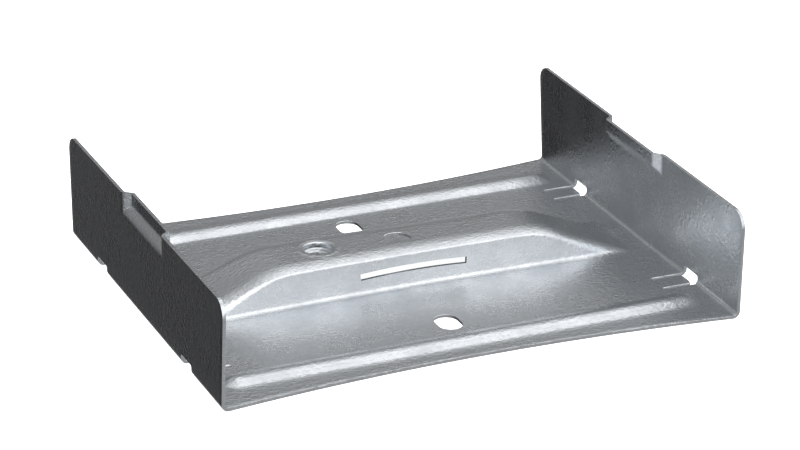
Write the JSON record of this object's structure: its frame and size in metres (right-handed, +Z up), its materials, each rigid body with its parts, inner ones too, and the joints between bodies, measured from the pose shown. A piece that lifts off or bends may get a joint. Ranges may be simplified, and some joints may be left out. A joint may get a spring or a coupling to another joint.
{
  "type": "cable tray splice bar",
  "caption": "Shallow U of folded galvanised sheet with a drawn hump, rod holes, beads, snap tongues and pressed wall pockets, for joining cable tray lengths.",
  "frame": {"origin": "middle of the underside of the base", "axes": "+X across the tray from wall to wall, +Y along the tray, +Z up out of the channel"},
  "size_m": [0.2, 0.1698, 0.0415],
  "materials": {
    "galvanised_steel": "satin"
  },
  "bodies": {
    "root": {"splice_plate": "galvanised_steel"}
  },
  "joints": []
}
